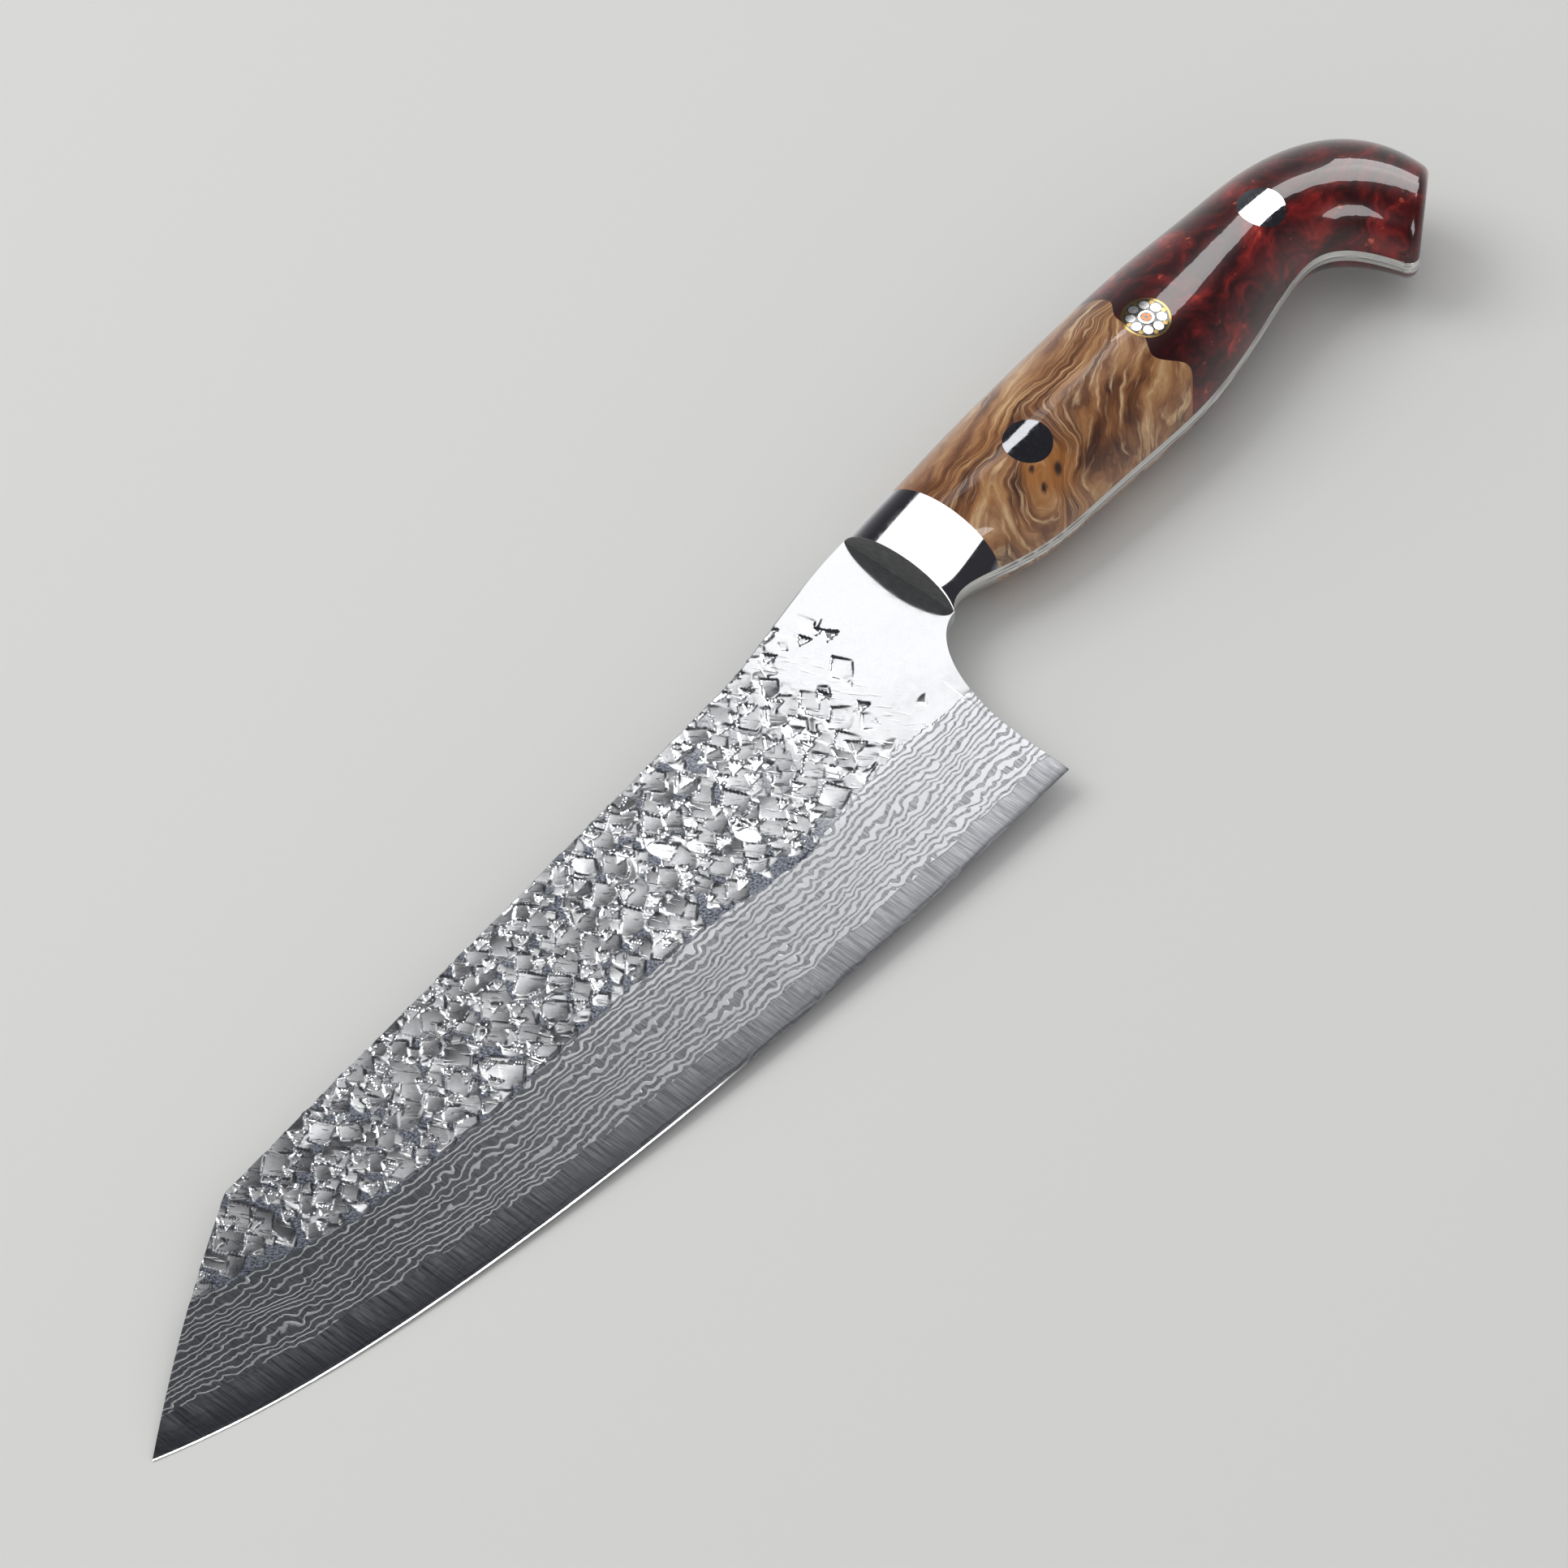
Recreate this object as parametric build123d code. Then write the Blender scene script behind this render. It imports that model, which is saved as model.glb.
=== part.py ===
from build123d import *
import os
from math import cos, pi, radians, sin

# A kitchen knife with a clipped "bunka" tip and a full tang, lying on its right side.
#
# Knife frame, in which every piece is drawn: X = 0 is the front face of the bolster, the
# tip points to -X and the butt to +X, Y = 0 runs through the three handle pins, +Y is the
# spine, -Y the cutting edge, and +Z the left side. The last section of this script lays
# the finished knife on a table: +Z up, origin at the middle of its bounding box, on the
# table. All sizes are in millimetres and degrees.

# ---------------------------------------------------------------- driving dimensions
# Blade outline
BLADE_LENGTH = 189.5      # bolster face to tip
NECK_TOP = 14.1           # top of the neck and of the bolster face, above the pin line
SPINE_TOP = 10.9          # straight spine, above the pin line
NECK_LENGTH = 38.0        # length over which the neck eases down to the spine
HEEL_SETBACK = 12.0       # bolster face to heel
HEEL_DROP = 39.1          # heel corner below the pin line
TIP_DROP = 10.6           # tip below the pin line
EDGE_STRAIGHT_RISE = 7.1  # even rise of the edge from heel to tip
EDGE_BELLY_RISE = 17.8    # rise of its belly; the tip's own sweep makes up the rest
CLIP_LENGTH = 40.5        # clipped spine, measured along X
CLIP_BULGE = 0.8          # how far the clip bows out
CHOIL_RISE = 8.5          # straight part of the choil, above the heel

# Blade section
TANG_THICKNESS = 2.5      # the stock, at the neck and through the handle
TIP_THICKNESS = 1.5       # to which the flats of the blade taper
CORE_THICKNESS = 0.7      # hard core between the two claddings
BEVEL_HEIGHT_HEEL = 20.0  # ground bevel, above the edge
BEVEL_HEIGHT_TIP = 16.0
BEVEL_OVERRUN = 0.1       # share by which the bevels are drawn on past the flats
HONE_HEIGHT = 0.7         # honed bevel at the very edge
HONE_THICKNESS = 0.36
EDGE_THICKNESS = 0.06

# Handle outline
BOLSTER_LENGTH = 11.0
NECK_BOTTOM = 7.8         # underside of the bolster face, below the pin line
BOLSTER_WAIST = 6.3       # hollow in the underside of the bolster, below the pin line
BOLSTER_BOTTOM = 8.1      # underside of the bolster where it meets the scales
SWELL_SHARE = 0.22        # where the palm swell starts, on the way from bolster to waist
SWELL_TOP = 14.4
SWELL_DROP = 11.9
PALM_SHARE = 0.5          # the fullest part of the palm
PALM_TOP = 14.0           # back of the handle, above the pin line
PALM_DROP = 13.4          # belly of the handle, below it
TAPER_SHARE = 0.77        # where the palm swell runs out
TAPER_TOP = 13.0
TAPER_DROP = 12.1
WAIST_SETBACK = 28.6      # end of the butt to the hollow for the little finger
WAIST_TOP = 11.2
WAIST_DROP = 9.4
HANDLE_LENGTH = 117.6
HOOK_SETBACK = 17.1       # end of the butt to the point of its hook
HOOK_DROP = 23.4
BUTT_ANGLE = 31.0         # slope of the butt's end face

# Handle section
BOLSTER_FRONT_THICKNESS = 13.8
BOLSTER_REAR_THICKNESS = 16.8
SWELL_THICKNESS = 19.4
PALM_THICKNESS = 21.2
TAPER_THICKNESS = 20.6
WAIST_THICKNESS = 18.6
BUTT_THICKNESS = 14.0
BUTT_ROUNDING = 1.8

# Pins
PIN_DIAMETER = 8.0
FIRST_PIN = 28.2          # bolster face to the front pin
LAST_PIN_SETBACK = 28.4   # end of the butt to the rear pin
MOSAIC_WALL = 0.35        # brass tube of the mosaic pin
PETAL_COUNT = 8           # steel rods in its ring, and rim wires between them
PETAL_GAP = 0.3           # epoxy between neighbouring petals
RIM_GAP = 0.35            # epoxy between petals and tube
HUB_GAP = 0.4             # epoxy between petals and hub
HUB_WALL = 0.3
HUB_WIRE_COUNT = 5
WIRE_GAP = 0.1            # epoxy round each thin wire

# Live edge between burl and resin, from back to belly: X from the middle pin, and Y
LEFT_LIVE_EDGE = [(-2.5, 17), (-1.1, 11.6), (-0.2, 6.8), (-2.6, 4.2), (-3.4, -2.4),
                  (-5.0, -5.0), (-3.3, -7.6), (-1.5, -9.8), (-3.2, -11.8), (-5.5, -17)]
RIGHT_LIVE_EDGE = [(-4.0, 17), (-2.2, 12), (-3.6, 7.5), (-1.4, 3.6), (-0.4, -1.5),
                   (-2.4, -5.5), (-0.8, -9), (-3.4, -12), (-4.8, -17)]

# How the knife lies: on its tip and the crown of its right scale, rolled towards the edge
REST_PITCH = 2.26
REST_ROLL = 5.5

REACH = 60.0              # half size of the blocks that cut and split the pieces
WAIST_POSITION = HANDLE_LENGTH - WAIST_SETBACK
HOOK_POSITION = HANDLE_LENGTH - HOOK_SETBACK
LAST_PIN = HANDLE_LENGTH - LAST_PIN_SETBACK
PIN_POSITIONS = [FIRST_PIN, (FIRST_PIN + LAST_PIN) / 2, LAST_PIN]


def between(start, end, share):
    """The value that lies this share of the way from start to end."""
    return start + (end - start) * max(0.0, min(share, 1.0))


def ease(start, end, share):
    """Like between(), with level ends."""
    return between(start, end, (1 - cos(pi * max(0.0, min(share, 1.0)))) / 2)


# ---------------------------------------------------------------- blade
def edge_height(x):
    """Height of the cutting edge at x: a straight rise, a belly and the tip's sweep."""
    along = max(0.0, (-x - HEEL_SETBACK) / (BLADE_LENGTH - HEEL_SETBACK))
    sweep = HEEL_DROP - TIP_DROP - EDGE_STRAIGHT_RISE - EDGE_BELLY_RISE
    rise = EDGE_STRAIGHT_RISE * along + EDGE_BELLY_RISE * along**2.5 + sweep * along**10
    return rise - HEEL_DROP


def half_flat(x):
    """Distance of the flats from the middle of the blade at x."""
    return TANG_THICKNESS / 2 + (TANG_THICKNESS - TIP_THICKNESS) / 2 * x / BLADE_LENGTH


def blade_section(x):
    """Cross-section of the blade at x before its clip and flats: spine, bevel and hone."""
    blade_share = (-x - HEEL_SETBACK) / (BLADE_LENGTH - HEEL_SETBACK)
    edge = edge_height(x)
    bevel = between(BEVEL_HEIGHT_HEEL, BEVEL_HEIGHT_TIP, blade_share)
    top = edge + bevel * (1 + BEVEL_OVERRUN)
    thick = half_flat(x) + (half_flat(x) - HONE_THICKNESS / 2) * BEVEL_OVERRUN
    left = [(ease(NECK_TOP, SPINE_TOP, -x / NECK_LENGTH), thick), (top, thick),
            (edge + HONE_HEIGHT, HONE_THICKNESS / 2), (edge, EDGE_THICKNESS / 2)]
    right = [(y, -z) for y, z in reversed(left)]
    return Face(Wire(Polyline([(x, y, z) for y, z in left + right], close=True).edges()))


def between_flats():
    """All the space between the two flats, which draw together towards the tip."""
    left = [(x, 0, half_flat(x)) for x in (REACH, -1.1 * BLADE_LENGTH)]
    right = [(x, 0, -z) for x, _, z in reversed(left)]
    return extrude(Face(Wire(Polyline(left + right, close=True).edges())), REACH, both=True)


def clip_cutter():
    """What is ground off above the clipped spine."""
    corner = Vector(-BLADE_LENGTH + CLIP_LENGTH, SPINE_TOP)
    tip = Vector(-BLADE_LENGTH, -TIP_DROP)
    run = tip - corner
    outward = Vector(run.Y, -run.X).normalized()
    clip = ThreePointArc(corner, (corner + tip) / 2 + outward * CLIP_BULGE, tip)
    before = corner - (clip % 0) * REACH / 4
    after = tip + (clip % 1) * REACH / 4
    outside = Polyline(tip, after, after + REACH * outward, before + REACH * outward,
                       before, corner)
    return extrude(Face(Wire([clip] + outside.edges())), REACH / 2, both=True)


def choil_cutter():
    """What is cut away behind the heel, up to the underside of the bolster."""
    top_of_straight = Vector(-HEEL_SETBACK, CHOIL_RISE - HEEL_DROP)
    height = HEEL_DROP - CHOIL_RISE - NECK_BOTTOM
    middle = Vector(-0.56 * HEEL_SETBACK, -NECK_BOTTOM - 0.2 * height)
    bolster = Vector(0, -NECK_BOTTOM)
    curve = Spline(top_of_straight, middle, bolster, tangents=[(0, 1), (1, 0.45)])
    outside = Polyline(bolster, (REACH, -NECK_BOTTOM), (REACH, -HEEL_DROP - REACH),
                       (-HEEL_SETBACK, -HEEL_DROP - REACH), top_of_straight)
    return extrude(Face(Wire([curve] + outside.edges())), REACH / 2, both=True)


def make_blade():
    """The blade from bolster face to tip, before it is split into its layers."""
    steps = 10
    main = BLADE_LENGTH - HEEL_SETBACK
    stations = [0.0, -HEEL_SETBACK / 2]
    stations += [-HEEL_SETBACK - main * step / steps for step in range(steps + 1)]
    stations.append(-BLADE_LENGTH - main / 200)
    blade = loft([blade_section(x) for x in stations])
    return (blade & between_flats()) - clip_cutter() - choil_cutter()


# ---------------------------------------------------------------- handle
def handle_section(back, belly, thickness):
    """Left half of an oval across the handle, from a point on its back to its belly."""
    across = back - belly
    plane = Plane((back + belly) / 2, x_dir=across,
                  z_dir=across.cross(Vector(0, 0, 1)))
    oval = EllipticalCenterArc((0, 0), across.length / 2, thickness / 2, arc_size=180)
    return plane * Face(Wire([oval, Line(oval @ 1, oval @ 0)]))


def grip_sections():
    """Half ovals square to the knife, from the bolster face to the waist."""
    swell, palm, taper = [between(BOLSTER_LENGTH, WAIST_POSITION, share)
                          for share in (SWELL_SHARE, PALM_SHARE, TAPER_SHARE)]
    return [
        handle_section(Vector(x, back), Vector(x, -belly), thickness)
        for x, back, belly, thickness in [
            (0, NECK_TOP, NECK_BOTTOM, BOLSTER_FRONT_THICKNESS),
            (BOLSTER_LENGTH / 2, NECK_TOP, BOLSTER_WAIST,
             (BOLSTER_FRONT_THICKNESS + BOLSTER_REAR_THICKNESS) / 2),
            (BOLSTER_LENGTH, NECK_TOP, BOLSTER_BOTTOM, BOLSTER_REAR_THICKNESS),
            (swell, SWELL_TOP, SWELL_DROP, SWELL_THICKNESS),
            (palm, PALM_TOP, PALM_DROP, PALM_THICKNESS),
            (taper, TAPER_TOP, TAPER_DROP, TAPER_THICKNESS),
            (WAIST_POSITION, WAIST_TOP, WAIST_DROP, WAIST_THICKNESS),
        ]
    ]


def butt_sections():
    """Half ovals that fan out from the waist, down the rounded back and past the hook."""
    fan = 8
    run = HANDLE_LENGTH - WAIST_POSITION
    drop = HOOK_DROP + WAIST_TOP
    back = Bezier((WAIST_POSITION, WAIST_TOP),
                  (WAIST_POSITION + 0.5 * run, WAIST_TOP - 0.03 * drop),
                  (HANDLE_LENGTH + 0.20 * run, WAIST_TOP - 0.18 * drop),
                  (HANDLE_LENGTH - 0.06 * run, WAIST_TOP - 0.89 * drop))
    run = HOOK_POSITION - WAIST_POSITION
    drop = HOOK_DROP - WAIST_DROP
    belly = Bezier((WAIST_POSITION, -WAIST_DROP),
                   (WAIST_POSITION + 0.7 * run, -WAIST_DROP),
                   (HOOK_POSITION - 0.09 * run, -WAIST_DROP - 0.57 * drop),
                   (HOOK_POSITION + 0.09 * run, -WAIST_DROP - 1.66 * drop))
    return [handle_section(back @ (step / fan), belly @ (step / fan),
                           between(WAIST_THICKNESS, BUTT_THICKNESS, step / fan))
            for step in range(1, fan + 1)]


def make_half_handle():
    """The left half of the handle, bolster and butt in one, before it is split up."""
    whole = loft(grip_sections() + butt_sections())
    end = Plane((HOOK_POSITION, -HOOK_DROP), x_dir=(0, 0, 1),
                z_dir=(sin(radians(BUTT_ANGLE)), -cos(radians(BUTT_ANGLE)), 0))
    whole = split(whole, end, keep=Keep.BOTTOM)
    butt = whole.faces().sort_by(lambda face: (face.center() - end.origin).dot(end.z_dir))
    rim = butt[-1].edges().filter_by(lambda edge: (edge @ 0.5).Z > BUTT_ROUNDING)
    return fillet(rim, BUTT_ROUNDING)


# ---------------------------------------------------------------- splitting the layers
def slab(bottom, top, start=-2 * BLADE_LENGTH, end=2 * HANDLE_LENGTH):
    """Everything between two heights, and between two stations along the knife."""
    low, high = Vector(start, -REACH, bottom), Vector(end, REACH, top)
    block = Box(*(high - low), align=Align.MIN)
    return Pos(*low) * block


def other_side(piece):
    """The same piece, mirrored to the right side of the knife."""
    return mirror(piece, about=Plane.XY)


def rod(diameter, x, y=0.0):
    """A cylinder through the whole handle, to be trimmed flush with it."""
    return Pos(x, y) * Cylinder(diameter / 2, 2 * REACH)


def beyond_live_edge(live_edge):
    """The part of the handle past the live edge, where the burl gives way to resin."""
    points = [Vector(PIN_POSITIONS[1] + x, y) for x, y in live_edge]
    outside = Polyline(points[-1], (points[-1].X, -REACH), (2 * HANDLE_LENGTH, -REACH),
                       (2 * HANDLE_LENGTH, REACH), (points[0].X, REACH), points[0])
    return extrude(Face(Wire([Spline(points)] + outside.edges())), REACH, both=True)


# ---------------------------------------------------------------- the pieces
def make_steel(half_handle):
    """Core and claddings, each a slice of the blade with its part of the tang."""
    blade = make_blade()
    face = CORE_THICKNESS / 2
    half_core = half_handle & slab(-REACH, face)
    core = (blade & slab(-face, face)) + half_core + other_side(half_core)
    cladding = (blade & slab(face, REACH)) + (half_handle & slab(face, TANG_THICKNESS / 2))
    for x in PIN_POSITIONS:
        core -= rod(PIN_DIAMETER, x)
        cladding -= rod(PIN_DIAMETER, x)
    return {
        "blade_core": core,
        "blade_cladding_left": cladding,
        "blade_cladding_right": other_side(cladding),
    }


def make_grips(half_handle):
    """Bolster halves and scales on both sides of the tang."""
    bolster = half_handle & slab(TANG_THICKNESS / 2, REACH, end=BOLSTER_LENGTH)
    scale = half_handle & slab(TANG_THICKNESS / 2, REACH, start=BOLSTER_LENGTH)
    for x in PIN_POSITIONS:
        scale -= rod(PIN_DIAMETER, x)
    pieces = {"bolster_left": bolster, "bolster_right": other_side(bolster)}
    resin = beyond_live_edge(LEFT_LIVE_EDGE)
    pieces["scale_burl_left"] = scale - resin
    pieces["scale_resin_left"] = scale & resin
    resin = beyond_live_edge(RIGHT_LIVE_EDGE)
    pieces["scale_burl_right"] = other_side(scale - resin)
    pieces["scale_resin_right"] = other_side(scale & resin)
    return pieces


def packed_rods(count, bore, gap, rim_gap):
    """Ring radius and diameter of equal rods that fill the rim of a bore."""
    spread = 2 * sin(pi / count)
    diameter = (bore / 2 - rim_gap - gap / spread) / (1 / spread + 0.5)
    return (diameter + gap) / spread, diameter


def pocket_wire(ring_radius, petal_diameter, bore):
    """Ring radius and diameter of the wire that fits between two petals and the tube."""
    outer = bore / 2 - WIRE_GAP
    petal = petal_diameter / 2 + WIRE_GAP
    along = ring_radius * cos(pi / PETAL_COUNT)
    radius = (outer**2 + ring_radius**2 - 2 * outer * along - petal**2)
    radius /= 2 * (outer + petal - along)
    return outer - radius, 2 * radius


def ring(count, radius, diameter, x, turn=0.0):
    """Rods spaced evenly around the pin at x."""
    angles = [radians(turn + 360 * index / count) for index in range(count)]
    return [rod(diameter, x + radius * cos(a), radius * sin(a)) for a in angles]


def make_pins(half_handle):
    """Two plain pins, and a mosaic pin of rods and tubes set in dark epoxy."""
    halves = [half_handle & rod(PIN_DIAMETER, x) for x in PIN_POSITIONS]
    front_pin, blank, rear_pin = [half + other_side(half) for half in halves]
    middle = PIN_POSITIONS[1]
    bore = PIN_DIAMETER - 2 * MOSAIC_WALL
    petal_ring, petal = packed_rods(PETAL_COUNT, bore, PETAL_GAP, RIM_GAP)
    hub = 2 * petal_ring - petal - 2 * HUB_GAP
    hub_bore = hub - 2 * HUB_WALL
    hub_ring, hub_wire = packed_rods(HUB_WIRE_COUNT, hub_bore, WIRE_GAP, WIRE_GAP)
    rim_ring, rim_wire = pocket_wire(petal_ring, petal, bore)

    petals = ring(PETAL_COUNT, petal_ring, petal, middle)
    rim_wires = ring(PETAL_COUNT, rim_ring, rim_wire, middle, turn=180 / PETAL_COUNT)
    hub_wires = ring(HUB_WIRE_COUNT, hub_ring, hub_wire, middle)
    mosaic = {
        "mosaic_tube": rod(PIN_DIAMETER, middle) - rod(bore, middle),
        "mosaic_hub": rod(hub, middle) - rod(hub_bore, middle),
        "mosaic_filler": rod(bore, middle) - rod(hub, middle) - petals - rim_wires,
        "mosaic_hub_filler": rod(hub_bore, middle) - hub_wires,
    }
    for number, petal_rod in enumerate(petals, 1):
        mosaic[f"mosaic_petal_{number}"] = petal_rod

    pieces = {name: piece & blank for name, piece in mosaic.items()}
    for name, wires in (("mosaic_rim_wires", rim_wires), ("mosaic_hub_wires", hub_wires)):
        pieces[name] = Compound([(wire & blank).solid() for wire in wires])
    pieces["pin_front"] = front_pin
    pieces["pin_rear"] = rear_pin
    return pieces


# ---------------------------------------------------------------- the finished knife
def lay_down(pieces):
    """Turns the knife onto its right side and stands it on the origin."""
    attitude = Rot(Y=-REST_PITCH) * Rot(X=REST_ROLL)
    laid = {name: attitude * piece for name, piece in pieces.items()}
    box = Compound([solid for piece in laid.values() for solid in piece.solids()])
    box = box.bounding_box()
    shift = Pos(-box.center().X, -box.center().Y, -box.min.Z)
    return {name: shift * piece for name, piece in laid.items()}


half_handle = make_half_handle()
knife = lay_down(make_steel(half_handle) | make_grips(half_handle) | make_pins(half_handle))
os.makedirs("parts", exist_ok=True)
for name, piece in knife.items():
    export_step(piece, f"parts/{name}.step")
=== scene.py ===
import math

import bmesh
import bpy
import numpy as np
from mathutils import Matrix, Vector


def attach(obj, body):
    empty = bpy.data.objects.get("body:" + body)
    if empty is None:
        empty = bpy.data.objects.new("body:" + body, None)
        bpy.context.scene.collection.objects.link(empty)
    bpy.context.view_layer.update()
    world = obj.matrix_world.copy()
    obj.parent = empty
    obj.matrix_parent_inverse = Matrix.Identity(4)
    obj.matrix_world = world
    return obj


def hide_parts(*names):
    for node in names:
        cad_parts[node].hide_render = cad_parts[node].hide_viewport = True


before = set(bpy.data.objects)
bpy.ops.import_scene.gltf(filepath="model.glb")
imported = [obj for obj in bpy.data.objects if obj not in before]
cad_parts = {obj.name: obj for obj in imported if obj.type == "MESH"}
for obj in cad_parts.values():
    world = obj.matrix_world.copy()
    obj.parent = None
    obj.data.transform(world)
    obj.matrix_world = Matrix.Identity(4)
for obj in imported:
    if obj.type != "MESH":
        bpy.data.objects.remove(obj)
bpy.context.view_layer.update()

MM = 0.001

# ------------------------------------------------------------------ the knife's own frame
# In millimetres: X = 0 is the front face of the bolster, the tip points to -X, +Y is the
# spine, -Y the edge, +Z the left side. The knife lies turned by these angles.
REST_PITCH = math.radians(2.26)
REST_ROLL = math.radians(5.5)
TURN = Matrix.Rotation(-REST_PITCH, 3, "Y") @ Matrix.Rotation(REST_ROLL, 3, "X")

# Blade outline and section, as in the solids
BLADE_LENGTH = 189.5
NECK_TOP = 14.1
SPINE_TOP = 10.9
NECK_LENGTH = 38.0
HEEL_SETBACK = 12.0
HEEL_DROP = 39.1
TIP_DROP = 10.6
EDGE_STRAIGHT_RISE = 7.1
EDGE_BELLY_RISE = 17.8
CLIP_LENGTH = 40.5
CLIP_BULGE = 0.8
CHOIL_RISE = 8.5
NECK_BOTTOM = 7.8
TANG_THICKNESS = 2.5
TIP_THICKNESS = 1.5
BEVEL_HEIGHT_HEEL = 20.0
BEVEL_HEIGHT_TIP = 16.0
HONE_HEIGHT = 0.7
HONE_THICKNESS = 0.36
EDGE_THICKNESS = 0.06


def vertices_of(node):
    """A CAD node's vertices as rows, in metres."""
    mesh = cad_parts[node].data
    flat = np.empty(3 * len(mesh.vertices), np.float32)
    mesh.vertices.foreach_get("co", flat)
    return flat.reshape(-1, 3).astype(float)


def knife_origin():
    """Where the knife frame's origin is: found from the core's tip, heel and faces."""
    turned = vertices_of("blade_core") @ np.array(TURN)
    low, high = turned.min(0) / MM, turned.max(0) / MM
    corner = Vector((low[0] + BLADE_LENGTH, low[1] + HEEL_DROP, (low[2] + high[2]) / 2))
    return TURN @ (corner * MM)


ORIGIN = knife_origin()


def placed(points):
    """Points in the knife frame, in millimetres, as points of the scene, in metres."""
    return np.asarray(points, float) * MM @ np.array(TURN).T + np.array(ORIGIN)


# ------------------------------------------------------------------ camera and light
CAMERA_PLACE = (-543.32, -407.80, 900.79)
CAMERA_TARGET = (-41.12, -7.00, 0.0)
CAMERA_UP = (0.63631, 0.50784, 0.58070)
LENS = 167.7

# Soft lamps over the knife. The three keys light it; the rest only show in reflections.
PANEL_HEIGHT = 900
PANELS = (  # name, middle, size, turn in degrees, radiance, whether it lights matt things
    ("key", (520, 440), (240, 200), 0, 1.35, True),
    ("key_middle", (335, 430), (130, 240), 0, 1.15, True),
    ("key_tip", (185, 420), (170, 240), 0, 0.6, True),
    ("strip", (930, 305), (580, 510), 0, 5.5, False),
    ("butt_strip", (1444, 517), (895, 500), 34.6, 5.5, False),
    ("hook_window", (-80, -480), (330, 640), 0, 5.5, False))
FILL_PLACE = (-250, 900, 1000)  # a lamp for the shadows, which reflections leave out
FILL_SIZE = (900, 900)
FILL_RADIANCE = 2.8


def aim(obj, place, target, up):
    """Puts obj at place, looking at target, all in the knife frame."""
    place, target = (Vector(p) for p in placed([place, target]))
    back = (place - target).normalized()
    right = (TURN @ Vector(up)).cross(back).normalized()
    facing = Matrix((right, back.cross(right), back)).transposed().to_4x4()
    obj.matrix_world = Matrix.Translation(place) @ facing


def make_camera():
    """The photograph's camera, as it was found from the picture."""
    camera = bpy.data.objects.new("photo_camera", bpy.data.cameras.new("photo_camera"))
    camera.data.sensor_width = 36.0
    camera.data.lens = LENS
    camera.data.clip_start, camera.data.clip_end = 0.01, 50.0
    bpy.context.collection.objects.link(camera)
    aim(camera, CAMERA_PLACE, CAMERA_TARGET, CAMERA_UP)
    bpy.context.scene.camera = camera


def make_panel(name, place, target, size, radiance, turn=0.0, glossy=True, diffuse=True):
    """A rectangular soft light, size in millimetres, with the radiance it shows. One
    with glossy or diffuse off is left out of reflections, or seen only in them."""
    light = bpy.data.lights.new(name, "AREA")
    light.shape = "RECTANGLE"
    light.size, light.size_y = size[0] * MM, size[1] * MM
    light.energy = radiance * math.pi * light.size * light.size_y
    lamp = bpy.data.objects.new(name, light)
    bpy.context.collection.objects.link(lamp)
    up = (-math.sin(turn), math.cos(turn), 0.01)
    aim(lamp, place, target, up)
    lamp.visible_glossy, lamp.visible_diffuse = glossy, diffuse
    lamp.visible_camera = False


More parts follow.
